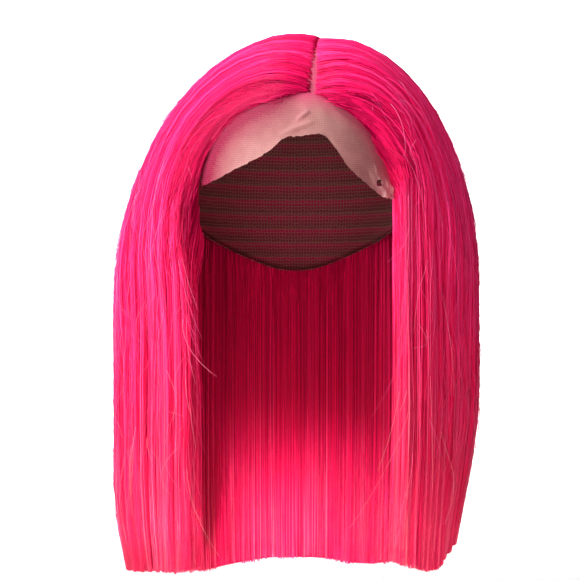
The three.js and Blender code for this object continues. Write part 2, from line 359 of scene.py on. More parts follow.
def quarter_circle(share):
    """Height of a quarter circle, from 0 where it rises upright to 1 where it is level: the root of
    1 - (1 - share)^2, with the share of the way held between 0 and 1."""
    share = np.clip(share, 0, 1)
    return np.sqrt(1 - (1 - share) ** 2)


def unit(vectors):
    """Vectors at length 1."""
    return vectors / np.maximum(np.linalg.norm(vectors, axis=-1, keepdims=True), 1e-9)


def pairs(first, second):
    """Two arrays, spread to one shape, as pairs of numbers."""
    return np.stack(np.broadcast_arrays(first, second), axis=-1)


def draw(rng, span, count):
    """Even random numbers between two ends, as a column with one for each strand."""
    return rng.uniform(*span, count)[:, None]


def curve_through(table, column, where, over="azimuth"):
    """Cubic Hermite curve through one column of a table over another. Each slope is that of the chord between
    the rows on either side, and the ends take the slope of their own chord."""
    at, values = np.array(table[over], float), np.array(table[column], float)
    last = len(at) - 1
    i = np.clip(np.searchsorted(at, where, side="right") - 1, 0, last - 1)
    before, after = np.maximum(i - 1, 0), np.minimum(i + 2, last)
    width = at[i + 1] - at[i]
    t = np.clip((where - at[i]) / width, 0, 1)
    start_slope = (values[i + 1] - values[before]) / (at[i + 1] - at[before]) * width
    end_slope = (values[after] - values[i]) / (at[after] - at[i]) * width
    return (
        (2 * t**3 - 3 * t**2 + 1) * values[i]
        + (t**3 - 2 * t**2 + t) * start_slope
        + (3 * t**2 - 2 * t**3) * values[i + 1]
        + (t**3 - t**2) * end_slope
    )


def smooth_noise(rng, cells):
    """A random field on the unit square, from -1 to 1: random values at the corners of cells, blended between
    them with smoothstep weights."""
    lattice = rng.uniform(-1, 1, (cells[0] + 2, cells[1] + 2))

    def field(u, v):
        x, y = np.clip(u, 0, 1) * cells[0], np.clip(v, 0, 1) * cells[1]
        i, j = x.astype(int), y.astype(int)
        s, t = smoothstep(x - i, 0, 1), smoothstep(y - j, 0, 1)
        low = lerp(lattice[i, j], lattice[i + 1, j], s)
        return lerp(low, lerp(lattice[i, j + 1], lattice[i + 1, j + 1], s), t)

    return field


# Forms


def form_point(azimuth, polar, outwards):
    """A point of the cap's form, an ellipsoid that is longer behind than in front, some distance out."""
    turn, down = np.radians(azimuth), np.radians(polar)
    length = np.where(np.cos(turn) > 0, CAP_FORM["front"], CAP_FORM["back"])
    x = (CAP_FORM["half_width"] + outwards) * np.sin(down) * np.sin(turn)
    y = -(length + outwards) * np.sin(down) * np.cos(turn)
    z = (CAP_FORM["rise"] + outwards) * np.cos(down) - CAP_FORM["rise"]
    return np.stack(np.broadcast_arrays(x, y, z), axis=-1)


def crown_point(x, y, outwards):
    """The point of the cap's form above a place in plan, some distance out."""
    length = np.where(y < 0, CAP_FORM["front"], CAP_FORM["back"]) + outwards
    square = 1 - (x / (CAP_FORM["half_width"] + outwards)) ** 2 - (y / length) ** 2
    z = (CAP_FORM["rise"] + outwards) * np.sqrt(np.maximum(square, 0)) - CAP_FORM["rise"]
    return np.stack(np.broadcast_arrays(x, y, z), axis=-1)


def form_share(points, outwards):
    """How far out points lie, as a share of the ellipsoid's radius in their direction."""
    x, y, z = points[..., 0], points[..., 1], points[..., 2] + CAP_FORM["rise"]
    length = np.where(y < 0, CAP_FORM["front"], CAP_FORM["back"]) + outwards
    across, high = CAP_FORM["half_width"] + outwards, CAP_FORM["rise"] + outwards
    return np.sqrt((x / across) ** 2 + (y / length) ** 2 + (z / high) ** 2)


def on_form(points, outwards, share=None):
    """Points moved along their line from the middle of the cap's form onto it, some distance out."""
    centre = np.array([0, 0, -CAP_FORM["rise"]])
    share = form_share(points, outwards) if share is None else share
    return centre + (points - centre) / share[..., None]


def clear_of_form(points, outwards):
    """Points that lie inside the cap's form moved out onto it, some distance out. The rest stay."""
    return on_form(points, outwards, np.minimum(form_share(points, outwards), 1))


def flat_places(azimuth, polar, radii):
    """Flat places on a net on the cap's form: the arcs round it and down it, at two mean radii."""
    return pairs(np.radians(azimuth) * radii[0], np.radians(polar) * radii[1])


def parting_x(y):
    """The parting's x at a y: a straight line that leans a little."""
    return PART["crown_x"] + PART["lean"] * y


def lace_height(x, y):
    """How far the lace stands off the cap's form at a place in plan. The hair knotted in beside the parting
    lifts it over the crown, less to either side and towards the ends of the parting."""
    aside = np.abs(x - parting_x(y))
    along = smoothstep(y, *PART_RISE["front_y"]) * (1 - smoothstep(y, *PART_RISE["back_y"]))
    return LACE_LIFT + PART_RISE["height"] * along * (1 - smoothstep(aside, *PART_RISE["aside"]))


def on_lace(points, over):
    """Points moved along their line from the middle of the cap's form to some distance over the lace."""
    return on_form(points, lace_height(points[..., 0], points[..., 1]) + over)


def signed_azimuth(azimuth):
    """An azimuth as one from -180 to 180."""
    return np.where(azimuth > 180, azimuth - 360, azimuth)


def from_face(azimuth):
    """Degrees round from the face opening, the same on either side."""
    return np.abs(signed_azimuth(azimuth))


def section_value(column, azimuth):
    """A column of the hair's table at an azimuth on either side."""
    return curve_through(HAIR_SECTIONS, column, from_face(azimuth))


def plumb_height(azimuth):
    """Height where the hair starts to hang plumb: higher up beside the face opening at +X, and lower on the
    -X side."""
    round_from_face = from_face(azimuth)
    lift = SHORT_ARC["lift"] * (1 - smoothstep(azimuth, *SHORT_ARC["ends"]))
    drop = LONG_ARC["drop"] * smoothstep(round_from_face, *LONG_ARC["starts"])
    drop = drop * (1 - smoothstep(round_from_face, *LONG_ARC["ends"]))
    return section_value("plumb_z", azimuth) + np.where(np.sin(np.radians(azimuth)) > 0, lift, -drop)


def hem_height(azimuth):
    """Height of the hem: bevelled at the outer corner on the +X side, and lower round the -X side."""
    return section_value("hem_z", azimuth) + curve_through(HEM_RISE, "rise", signed_azimuth(azimuth))


def root_point(azimuth):
    """Plan place where a strand leaves the parting, an x and a y."""
    side = np.sign(np.sin(np.radians(azimuth)))
    y = section_value("root_y", azimuth)
    return parting_x(y) + side * section_value("root_x", azimuth), y


def hair_point(azimuth, place, depth):
    """A point in the hair. Depth is 0 on its underside and 1 on its outside. A strand arcs over the cap as a
    quarter of an ellipse, from the parting to the outline in plan, bows out a little on the way, and then
    hangs plumb with its hem drawn in."""
    azimuth, place, depth = np.broadcast_arrays(azimuth, place, depth)
    turn = np.radians(azimuth)
    side = np.sin(turn)
    curve = np.clip(place, 0, 1) * np.pi / 2
    hang = place - 1

    root_x, root_y = root_point(azimuth)
    normal_x, normal_y = side / PLAN["half_width"], -np.cos(turn) / PLAN["half_depth"]
    normal_size = np.hypot(normal_x, normal_y)
    reach_x = (PLAN["half_width"] * side - root_x) * np.sin(curve)
    reach_y = (PLAN["centre_y"] - PLAN["half_depth"] * np.cos(turn) - root_y) * np.sin(curve)
    insets = [HEM_INSET[name] * smoothstep(hang, *HEM_INSET_REACH[name]) for name in ("left", "right")]
    inset = lerp(*insets, (1 + side) / 2)
    inset = inset * lerp(HEM_INSET["at_face"], 1, smoothstep(from_face(azimuth), *HEM_INSET["grows"]))
    inset = inset * lerp(HEM_INSET["underside"], 1, depth)
    bow = section_value("bow", azimuth) * np.sin(2 * curve)
    outwards = bow - inset - (1 - depth) * section_value("wall", azimuth) * np.sin(curve)

    top = section_value("root_z", azimuth) - SIDE_LIFT * side - (1 - depth) * ROOT_DEPTH
    plumb = plumb_height(azimuth)
    over = lerp(plumb, top, np.cos(curve))
    hanging = lerp(plumb, hem_height(azimuth), hang)
    x = root_x + reach_x + normal_x / normal_size * outwards
    y = root_y + reach_y + normal_y / normal_size * outwards
    return np.stack([x, y, np.where(hang > 0, hanging, over)], axis=-1)


# Meshes


def new_object(name, vertices, quads, triangles=None, uv=None, material=None, slot=None):
    """A smooth mesh object at the origin from arrays: vertices in millimetres, faces, and UV maps by name,
    with a pair of numbers for each vertex."""
    loops = [np.asarray(quads, np.int32).reshape(-1)]
    sizes = [np.full(len(quads), 4, np.int32)]
    if triangles is not None:
        loops.append(np.asarray(triangles, np.int32).reshape(-1))
        sizes.append(np.full(len(triangles), 3, np.int32))
    loops, sizes = np.concatenate(loops), np.concatenate(sizes)
    mesh = bpy.data.meshes.new(name)
    mesh.vertices.add(len(vertices))
    mesh.vertices.foreach_set("co", (np.asarray(vertices) * MM).astype(np.float32).reshape(-1))
    mesh.loops.add(len(loops))
    mesh.loops.foreach_set("vertex_index", loops)
    mesh.polygons.add(len(sizes))
    mesh.polygons.foreach_set("loop_start", np.concatenate([[0], np.cumsum(sizes)[:-1]]).astype(np.int32))
    mesh.polygons.foreach_set("use_smooth", np.ones(len(sizes), bool))
    for layer, values in (uv or {}).items():
        data = mesh.uv_layers.new(name=layer).data
        data.foreach_set("uv", np.asarray(values, np.float32)[loops].reshape(-1))
    mesh.update(calc_edges=True)
    mesh.validate()
    piece = bpy.data.objects.new(name, mesh)
    bpy.context.collection.objects.link(piece)
    if material:
        mesh.materials.append(material)
    if slot:
        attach(piece, "root")
    return piece


def grid_quads(numbers):
    """Corner numbers of the quads between the points of a grid."""
    corners = [numbers[:-1, :-1], numbers[1:, :-1], numbers[1:, 1:], numbers[:-1, 1:]]
    return np.stack(corners, axis=-1).reshape(-1, 4)


def grid_numbers(points, start=0):
    """The numbers of a grid's points, row by row."""
    rows, columns = points.shape[:2]
    return start + np.arange(rows * columns).reshape(rows, columns)


def weld(mesh):
    """Joins points of a mesh that lie in one place, so that its seams and poles are closed."""
    work = bmesh.new()
    work.from_mesh(mesh)
    bmesh.ops.remove_doubles(work, verts=work.verts, dist=1e-6)
    work.to_mesh(mesh)
    work.free()


def facing_out(vertices, quads):
    """The quads, turned round if the closed surface that they make has a negative volume."""
    a, b, c, d = (vertices[quads[:, k]] for k in range(4))
    volume = np.einsum("ij,ij->", a, np.cross(b, c)) + np.einsum("ij,ij->", a, np.cross(c, d))
    return quads if volume > 0 else quads[:, ::-1]


def shell(outer, inner):
    """Vertices and quads of a closed wall between two grids of points of the same shape."""
    front, back = grid_numbers(outer), grid_numbers(inner, outer[..., 0].size)
    edges = [
        np.stack([front[0], back[0]]),
        np.stack([back[-1], front[-1]]),
        np.stack([back[:, 0], front[:, 0]]),
        np.stack([front[:, -1], back[:, -1]]),
    ]
    quads = np.concatenate([grid_quads(front), grid_quads(back)[:, ::-1], *map(grid_quads, edges)])
    vertices = np.concatenate([outer.reshape(-1, 3), inner.reshape(-1, 3)])
    return vertices, facing_out(vertices, quads)


def strand_tubes(paths, radius, rng):
    """Three-sided tubes along paths, an array of strands by points: each ring is three points round the path,
    in the plane of the direction out of the hair and the direction across the strand."""
    strands, points = paths.shape[:2]
    along = unit(np.gradient(paths, axis=1))
    out = paths - np.array([0, PLAN["centre_y"], 0])
    out[..., 2] = np.maximum(paths[..., 2] + CAP_FORM["rise"], 0)
    across = unit(np.cross(along, unit(out)))
    out = np.cross(across, along)
    turn = rng.uniform(0, 2 * np.pi, (strands, 1, 1)) + np.arange(3) * 2 * np.pi / 3
    spoke = np.cos(turn)[..., None] * out[:, :, None] + np.sin(turn)[..., None] * across[:, :, None]
    vertices = (paths[:, :, None] + radius[..., None, None] * spoke).reshape(-1, 3)
    numbers = np.arange(strands * points * 3).reshape(strands, points, 3)
    around = np.roll(numbers, -1, axis=2)
    corners = [numbers[:, :-1], around[:, :-1], around[:, 1:], numbers[:, 1:]]
    quads = np.stack(corners, axis=-1).reshape(-1, 4)
    caps = np.concatenate([numbers[:, 0, ::-1], numbers[:, -1]])
    return vertices, quads, caps


def strand_object(name, layer, paths, place, tone, radius, rng, material):
    """One mesh of all the strands of a layer. Each strand's radius changes evenly along it by the layer's
    taper. The UV holds each strand's tone and its place along the hair."""
    radius = radius * np.linspace(*layer["taper"], paths.shape[1])
    vertices, quads, caps = strand_tubes(paths, radius, rng)
    uv = pairs(np.clip(tone, *TONE_LIMITS), place / UV_PLACES)
    uv = {"strand": np.repeat(uv.reshape(-1, 2), 3, axis=0)}
    new_object(name, vertices, quads, caps, uv, material, "hair")


# Materials


def socket_node(tree, kind, **values):
    """A node with its input sockets and properties set by name."""
    node = tree.nodes.new(kind)
    for name, value in values.items():
        if name in node.inputs:
            node.inputs[name].default_value = value
        else:
            setattr(node, name, value)
    return node


def wire(tree, wires):
    """Joins sockets. Each wire has a node and its output, then a node and its input."""
    for giver, output, taker, entry in wires:
        tree.links.new(giver.outputs[output], taker.inputs[entry])


def new_material(name, finish):
    """A material, its nodes and its shader, whose own sockets hold a finish by name."""
    material = bpy.data.materials.new(name)
    material.use_nodes = True
    tree = material.node_tree
    shader = tree.nodes["Principled BSDF"]
    for socket, value in finish.items():
        shader.inputs[socket].default_value = value
    return material, tree, shader


def new_group(name, sockets):
    """A shader node group, the node with its inputs and the node with its outputs. Each socket has a name, a
    kind and a way."""
    group = bpy.data.node_groups.new(name, "ShaderNodeTree")
    for socket, kind, way in sockets:
        group.interface.new_socket(socket, in_out=way, socket_type=f"NodeSocket{kind}")
    return group, group.nodes.new("NodeGroupInput"), group.nodes.new("NodeGroupOutput")


def colour_ramp(tree, stops):
    """A colour ramp node with stops of place and colour."""
    node = tree.nodes.new("ShaderNodeValToRGB")
    for _ in stops[2:]:
        node.color_ramp.elements.new(0.5)
    for element, (place, colour) in zip(node.color_ramp.elements, stops):
        element.position = place
        element.color = (*colour, 1)
    return node


def map_range(tree, before=(0, 1), after=(0, 1), **values):
    """A node that carries one range of numbers over to another."""
    ends = {"From Min": before[0], "From Max": before[1], "To Min": after[0], "To Max": after[1]}
    return socket_node(tree, "ShaderNodeMapRange", **ends, **values)


def colour_mix(tree, first=None, second=None, **values):
    """A node that mixes two colours, of which either can be set."""
    node = socket_node(tree, "ShaderNodeMix", data_type="RGBA", **values)
    for entry, colour in ((MIX_A, first), (MIX_B, second)):
        if colour:
            node.inputs[entry].default_value = (*colour, 1)
    return node


def uv_node(tree, name="strand"):
    """A node that reads one of the mesh's UV maps."""
    return socket_node(tree, "ShaderNodeUVMap", uv_map=name)


def uv_parts(tree, name="strand"):
    """A node that parts one of the mesh's UV maps into its two numbers, X and Y."""
    parts = tree.nodes.new("ShaderNodeSeparateXYZ")
    wire(tree, [(uv_node(tree, name), "UV", parts, "Vector")])
    return parts


def dye_group():
    """Dyed hair's colour and gloss from two numbers: a tone for each strand and the place along it. The tone
    picks a pink from crimson over magenta to pale pink, where low tones also serve painted shade and the
    palest pinks are partly a painted sheen; roots are deeper and tips nearer coral."""
    sockets = [
        ("Tone", "Float", "INPUT"),
        ("Along", "Float", "INPUT"),
        ("Color", "Color", "OUTPUT"),
        ("Roughness", "Float", "OUTPUT"),
    ]
    group, start, end = new_group("hair dye", sockets)
    tones = colour_ramp(group, DYE_AND_SHEEN_TONES)
    fade = colour_ramp(group, DYE_ALONG)
    mix = colour_mix(group, blend_type="MULTIPLY", Factor=1)
    rough = map_range(group, after=(0.42, 0.56))
    wires = [
        (start, "Tone", tones, "Fac"),
        (start, "Along", fade, "Fac"),
        (tones, "Color", mix, MIX_A),
        (fade, "Color", mix, MIX_B),
        (mix, MIX_RESULT, end, "Color"),
        (start, "Tone", rough, "Value"),
        (rough, "Result", end, "Roughness"),
    ]
    wire(group, wires)
    return group


def strand_material(dye):
    """Single strands: the tone and the place along come from the strand's own UV."""
    finish = {"Specular IOR Level": 0.2, "Specular Tint": (*GLOSS_TINT, 1)}
    material, tree, shader = new_material("dyed_strands", finish)
    parts = uv_parts(tree)
    tone = socket_node(tree, "ShaderNodeGroup", node_tree=dye)
    wires = [
        (parts, "X", tone, "Tone"),
        (parts, "Y", tone, "Along"),
        (tone, "Color", shader, "Base Color"),
        (tone, "Roughness", shader, "Roughness"),
    ]
    wire(tree, wires)
    return material


def mass_material(dye):
    """The hair under the top strands, kept darker than them as a painted shade between strands: deep streaks
    along it, from noise that is stretched along the UV, and darker still with painted shade along the
    hairline and on the underside, which its second UV map gives."""
    finish = {"Specular IOR Level": 0.15, "Specular Tint": (*GLOSS_TINT, 1)}
    material, tree, shader = new_material("dyed_mass", finish)
    uv, parts, roots = uv_node(tree), uv_parts(tree), uv_parts(tree, "roots")
    stretch = socket_node(tree, "ShaderNodeMapping", Scale=(420, 5, 1))
    streaks = socket_node(tree, "ShaderNodeTexNoise", Scale=1.0, Detail=3.0, Roughness=0.6)
    # Only low tones: a painted shade under the top strands
    spread = map_range(tree, (0.3, 0.75), (0, 0.5))
    # Less the painted shade of the hairline and the underside
    deeper = socket_node(tree, "ShaderNodeMath", operation="SUBTRACT", use_clamp=True)
    tone = socket_node(tree, "ShaderNodeGroup", node_tree=dye)
    bump = socket_node(tree, "ShaderNodeBump", Strength=0.7, Distance=0.0006)
    wires = [
        (uv, "UV", stretch, "Vector"),
        (stretch, "Vector", streaks, "Vector"),
        (streaks, "Fac", spread, "Value"),
        (spread, "Result", deeper, 0),
        (roots, "X", deeper, 1),
        (deeper, "Value", tone, "Tone"),
        (parts, "Y", tone, "Along"),
        (streaks, "Fac", bump, "Height"),
        (bump, "Normal", shader, "Normal"),
        (tone, "Color", shader, "Base Color"),
        (tone, "Roughness", shader, "Roughness"),
    ]
    wire(tree, wires)
    return material


def net_group():
    """A fine net of threads from flat coordinates in millimetres: 1 on the threads and 0 in the holes."""
    sockets = [("Flat", "Vector", "INPUT"), ("Cells", "Float", "INPUT"), ("Threads", "Float", "OUTPUT")]
    group, start, end = new_group("fine net", sockets)
    holes = {"feature": "DISTANCE_TO_EDGE", "voronoi_dimensions": "2D", "Randomness": 0.35}
    cells = socket_node(group, "ShaderNodeTexVoronoi", **holes)
    threads = map_range(group, (0.06, 0.2), (1, 0), interpolation_type="SMOOTHSTEP")
    wires = [
        (start, "Flat", cells, "Vector"),
        (start, "Cells", cells, "Scale"),
        (cells, "Distance", threads, "Value"),
        (threads, "Result", end, "Threads"),
    ]
    wire(group, wires)
    return group


def lace_material(net):
    """Sheer lace: threads over a finer film, see-through between them, with a faint mottle, a blush of dye
    where the roots are knotted in, deep on the -X side with painted shade under the hair's edge, which its
    second UV map gives, and a pale worn tab, which its third gives."""
    material, tree, shader = new_material("sheer_lace", {"Roughness": 0.6, "Specular IOR Level": 0.3})
    uv, roots, wear = uv_node(tree), uv_parts(tree, "roots"), uv_parts(tree, "wear")
    threads = socket_node(tree, "ShaderNodeGroup", node_tree=net)
    threads.inputs["Cells"].default_value = 0.8
    cover = map_range(tree, after=(0.7, 1))
    mottle = socket_node(tree, "ShaderNodeTexNoise", Scale=0.14, Detail=4.0)
    colours = colour_ramp(tree, LACE_TONES)
    knots = socket_node(tree, "ShaderNodeTexNoise", Scale=0.9, Detail=2.0)
    knot_share = map_range(tree, (0.3, 0.7), (0.9, 1.15))
    dyed = socket_node(tree, "ShaderNodeMath", operation="MULTIPLY", use_clamp=True)
    pink = colour_mix(tree, LACE_BLUSH_AND_SHADE, PARTING_BLUSH)
    blush = colour_mix(tree)
    worn = colour_mix(tree, second=LACE_WORN)
    bump = socket_node(tree, "ShaderNodeBump", Strength=0.35, Distance=0.0002)
    wires = [
        (uv, "UV", threads, "Flat"),
        (uv, "UV", mottle, "Vector"),
        (uv, "UV", knots, "Vector"),
        (threads, "Threads", cover, "Value"),
        (cover, "Result", shader, "Alpha"),
        (mottle, "Fac", colours, "Fac"),
        (knots, "Fac", knot_share, "Value"),
        (knot_share, "Result", dyed, 0),
        (roots, "X", dyed, 1),
        (roots, "Y", pink, "Factor"),
        (dyed, "Value", blush, "Factor"),
        (colours, "Color", blush, MIX_A),
        (pink, MIX_RESULT, blush, MIX_B),
        (wear, "X", worn, "Factor"),
        (blush, MIX_RESULT, worn, MIX_A),
        (worn, MIX_RESULT, shader, "Base Color"),
        (threads, "Threads", bump, "Height"),
        (bump, "Normal", shader, "Normal"),
    ]
    wire(tree, wires)
    return material


def cap_material(net):
    """Brown stretch net over rows of sewn hair: rows run round the cap, so they follow the UV's height. Each
    has a seam, and below it the roots of its hair, which fade under the net towards the next seam."""
    material, tree, shader = new_material("cap_net", {"Roughness": 0.85, "Specular IOR Level": 0.2})
    uv = uv_node(tree)
    threads = socket_node(tree, "ShaderNodeGroup", node_tree=net)
    threads.inputs["Cells"].default_value = 0.42
    bands = {"wave_type": "BANDS", "bands_direction": "Y", "wave_profile": "SAW"}
    waves = {"Scale": 0.03, "Distortion": 0.5, "Detail": 2.0, "Detail Scale": 4.0}
    rows = socket_node(tree, "ShaderNodeTexWave", **bands, **waves)
    colours = colour_ramp(tree, CAP_TONES)
    net_tone = colour_mix(tree, second=CAP_THREAD)
    bump = socket_node(tree, "ShaderNodeBump", Strength=0.6, Distance=0.0005)
    wires = [
        (uv, "UV", threads, "Flat"),
        (uv, "UV", rows, "Vector"),
        (rows, "Fac", colours, "Fac"),
        (colours, "Color", net_tone, MIX_A),
        (threads, "Threads", net_tone, "Factor"),
        (net_tone, MIX_RESULT, shader, "Base Color"),
        (threads, "Threads", bump, "Height"),
        (bump, "Normal", shader, "Normal"),
    ]
    wire(tree, wires)
    return material


def stage_material():
    """Matt white paper. To the camera it grows white with the distance from the middle in plan."""
    finish = {"Emission Strength": 1, "Base Color": (*PAPER, 1), "Roughness": 0.9, "Specular IOR Level": 0.1}
    material, tree, shader = new_material("pale_sweep", finish)
    place = tree.nodes.new("ShaderNodeTexCoord")
    plan = socket_node(tree, "ShaderNodeMapping", Scale=(1, 1, 0))
    distance = socket_node(tree, "ShaderNodeVectorMath", operation="LENGTH")
    far = map_range(tree, SWEEP_WHITENS, interpolation_type="SMOOTHSTEP")
    rays = tree.nodes.new("ShaderNodeLightPath")
    seen = socket_node(tree, "ShaderNodeMath", operation="MULTIPLY")
    wires = [
        (place, "Object", plan, "Vector"),
        (plan, "Vector", distance, 0),
        (distance, "Value", far, "Value"),
        (far, "Result", seen, 0),
        (rays, "Is Camera Ray", seen, 1),
        (seen, "Value", shader, "Emission Color"),
    ]
    wire(tree, wires)
    return material


# Hair pieces


def relief_field(name, rng):
    """How far the hair stands out across and along a section, in millimetres: round locks side by side, and
    clumps of three sizes from stretched noise, flat beside the parting and where two sections meet."""
    lock_count = SECTIONS[name]["locks"]
    wander = smooth_noise(rng, LOCKS["cells"])
    sizes = [(size["rise"], smooth_noise(rng, size["cells"])) for size in CLUMPS]

    def relief(u, place):
        v = place / NOISE_PLACES
        shifted = u + LOCKS["wander"] * wander(u, v)
        locks = LOCKS["rise"] * (np.abs(np.sin(np.pi * lock_count * shifted)) - LOCKS["valley"])
        clumps = sum(rise * field(shifted, v) for rise, field in sizes)
        meeting = smoothstep(1 - u, 0, MEETING_EDGE)
        if name not in HAIRLINES:
            meeting = meeting * smoothstep(u, 0, MEETING_EDGE)
        return (locks + clumps) * smoothstep(place, *RELIEF_STARTS) * meeting

    return relief


def strand_azimuth(name, u, place):
    """Azimuth of a share u across a section. Over the lace, its free edge follows the hairline's curve."""
    first, last = SECTIONS[name]["azimuths"]
    if name in HAIRLINES:
        first = curve_through(HAIRLINES[name], "azimuth", place, "place")
    return lerp(first, last, u)


def hairline_height(name, u, place):
    """Share of the hair's height over the lace near a free edge: a quarter circle up from it, and the whole
    height where the hair hangs free."""
    if name not in HAIRLINES:
        return np.ones(np.broadcast(u, place).shape)
    return lerp(quarter_circle(u / HAIRLINE_ROUNDING), 1, smoothstep(place, *SECTIONS[name]["over_lace"]))


def inside_shade(place):
    """How much painted shade darkens the underside, less towards the hem."""
    return INSIDE_SHADE["most"] * (1 - smoothstep(place, *INSIDE_SHADE["fades"]))


def edge_drop(name, u, place):
    """How much less deep the hanging hair is at a free edge: a quarter circle from the outside towards the
    underside."""
    if name not in HAIRLINES:
        return 0.0
    drop = EDGE_ROUNDING["depth"] * (1 - quarter_circle(u / EDGE_ROUNDING[name]))
    return drop * smoothstep(place, *SECTIONS[name]["over_lace"])


def parting_height(place, reach):
    """Share of the hair's height over the lace beside the parting: a parabola up from it that levels out."""
    share = np.clip(place / reach, 0, 1)
    return share * (2 - share)


def root_shade(name, u, place):
    """How much painted shade darkens the hair along the hairline, where the hair is all roots: a parabola
    down from it.
    """
    if name not in HAIRLINES:
        return np.zeros(np.broadcast(u, place).shape)
    nearness = np.clip(1 - u / ROOT_SHADE["reach"], 0, 1)
    return ROOT_SHADE[name] * nearness**2 * (1 - smoothstep(place, *ROOT_SHADE["fades"]))


def outside(name, relief, u, place, lift, reach=np.mean(ROOT_REACH)):
    """A point on or near the hair's outside: u across the section, lift in millimetres from its relief.
    Beside the parting and a free edge it comes down to the lace, and below the lace the free edge is
    rounded."""
    azimuth = strand_azimuth(name, u, place)
    depth = 1 + (relief(u, place) + lift) / section_value("wall", azimuth) - edge_drop(name, u, place)
    points = hair_point(azimuth, place, depth)
    height = hairline_height(name, u, place) * parting_height(place, reach)
    return lerp(on_lace(points, ROOT_SEAT), points, height[..., None])


def mass_object(name, relief, material):
    """The body of a section's hair: a closed wall from its outside, sunk under the top strands, to its
    underside. Beside the parting it comes down to the lace, and its free edge can slant, so that the
    underside starts further from the face."""
    columns = int(MASS["columns_a_degree"] * np.ptp(SECTIONS[name]["azimuths"]))
    u = np.linspace(0, 1, columns)[:, None]
    arc = np.linspace(0, 1, MASS["arc_rows"]) ** 2
    place = np.concatenate([arc, np.linspace(1, MASS["end"], MASS["plumb_rows"])[1:]])[None, :]
    sunk = -MASS["sink"] * smoothstep(place, *MASS["sinks_over"])
    outer = outside(name, relief, u, np.maximum(place, MASS["first_place"]), sunk)
    outer = clear_of_form(outer, HAIR_SEAT + MASS["least_wall"])

    hanging = smoothstep(place, *SECTIONS[name].get("over_lace", MASS["leaves_cap_over"]))
    azimuth = strand_azimuth(name, lerp(EDGE_SLANT[name], 1, u), place)
    inner = clear_of_form(hair_point(azimuth, place, MASS["underside"]), HAIR_SEAT)
    inner = clear_of_form(lerp(on_form(outer, HAIR_SEAT), inner, hanging[..., None]), HAIR_SEAT)
    vertices, quads = shell(outer, inner)

    along = pairs(u, place / UV_PLACES).reshape(-1, 2)
    # The second UV map holds painted shade: along the hairline outside and on the underside inside
    shades = [root_shade(name, u, place), inside_shade(place) + 0 * u]
    roots = np.concatenate([shade.reshape(-1) for shade in shades])
    uv = {"strand": np.concatenate([along, along]), "roots": pairs(roots, 0 * roots)}
    return new_object(f"hair_{name}_body", vertices, quads, None, uv, material, "hair")


def strand_places(start, end, arc_steps, plumb_steps):
    """Places along strands from start to end: steps over the arc crowd towards the parting by a power, and
    the rest are even."""
    arc = lerp(start[:, None], 1, np.linspace(0, 1, arc_steps + 1) ** ARC_CROWDING)
    plumb = lerp(1, end[:, None], np.linspace(0, 1, plumb_steps + 1)[1:])
    return np.concatenate([arc, plumb], axis=1)


def top_places(wisp, wisps, rng):
    """Where top strands start, and places along them. Most start at the parting, and the rest come out of the
    hair below it. They end at the blunt hem, ragged by strand and by wisp, and a few are shorter."""
    count = len(wisp)
    at_parting = rng.uniform(0, 1, count) < TOP["from_parting"]
    start = np.where(at_parting, 0.0, rng.uniform(*TOP["lower_start"], count))
    is_short = rng.uniform(0, 1, count) < TOP["short_share"]
    short = np.where(is_short, rng.uniform(*TOP["shorter"], count), 0)
    trim = short + np.abs(rng.normal(0, TOP["ragged"], count)) + rng.uniform(0, WISPS["ragged"], wisps)[wisp]
    return start, strand_places(start, TOP["end"] - trim, *TOP["steps"])


def gathered(u, place, wisp, wisps, clump, clumps, rng):
    """Shares across a section along its top strands. On the way down each strand gathers towards the middle
    of its wisp, and the wisps towards the middle of their clump, while strands, wisps and clumps all sway
    by smooth noise."""
    count, v = len(wisp), place / NOISE_PLACES
    middle = ((wisp + 0.5 + WISPS["aside"] * rng.uniform(-1, 1, wisps)[wisp]) / wisps)[:, None]
    to_wisp = draw(rng, GATHER_TO_WISP["share"], count) * smoothstep(place, *GATHER_TO_WISP["over"])
    to_clump = GATHER_TO_CLUMP["share"] * rng.uniform(0, 1, wisps)[wisp][:, None]
    to_clump = to_clump * smoothstep(place, *GATHER_TO_CLUMP["over"])
    sway = SWAY["strand"] * draw(rng, (0, 1), count) * smooth_noise(rng, (count, BENDS["strand"]))(u, v)
    sway = sway + SWAY["wisp"] * smooth_noise(rng, (wisps, BENDS["wisp"]))(middle, v)
    sway = sway + SWAY["clump"] * smooth_noise(rng, (clumps, BENDS["clump"]))(u, v)
    across = lerp(lerp(u, middle, to_wisp), (clump[:, None] + 0.5) / clumps, to_clump)
    return np.clip(across + sway * smoothstep(place, *SWAY["starts"]), 0, 1)


def layered(u, start, place, wisp, wisps, rng):
    """The layer that each top strand lies in, partly its wisp's and partly its own, and its lift along the
    way in millimetres: the layers part below the parting, smooth noise lifts and sinks the strand, and one
    that starts lower comes up from below."""
    count = len(wisp)
    layer = lerp(rng.uniform(*TOP["layer"], wisps)[wisp], rng.uniform(*TOP["layer"], count), TOP["own_layer"])
    rise = smooth_noise(rng, (count, BENDS["strand"]))(u, place / NOISE_PLACES)
    below = (start > 0) * (1 - smoothstep(place, start, start + TOP["comes_out_over"]))
    lift = layer[:, None] * smoothstep(place, *TOP["layers_part_over"]) + TOP["rise"] * rise
    return layer, lift - TOP["sunk_start"] * below


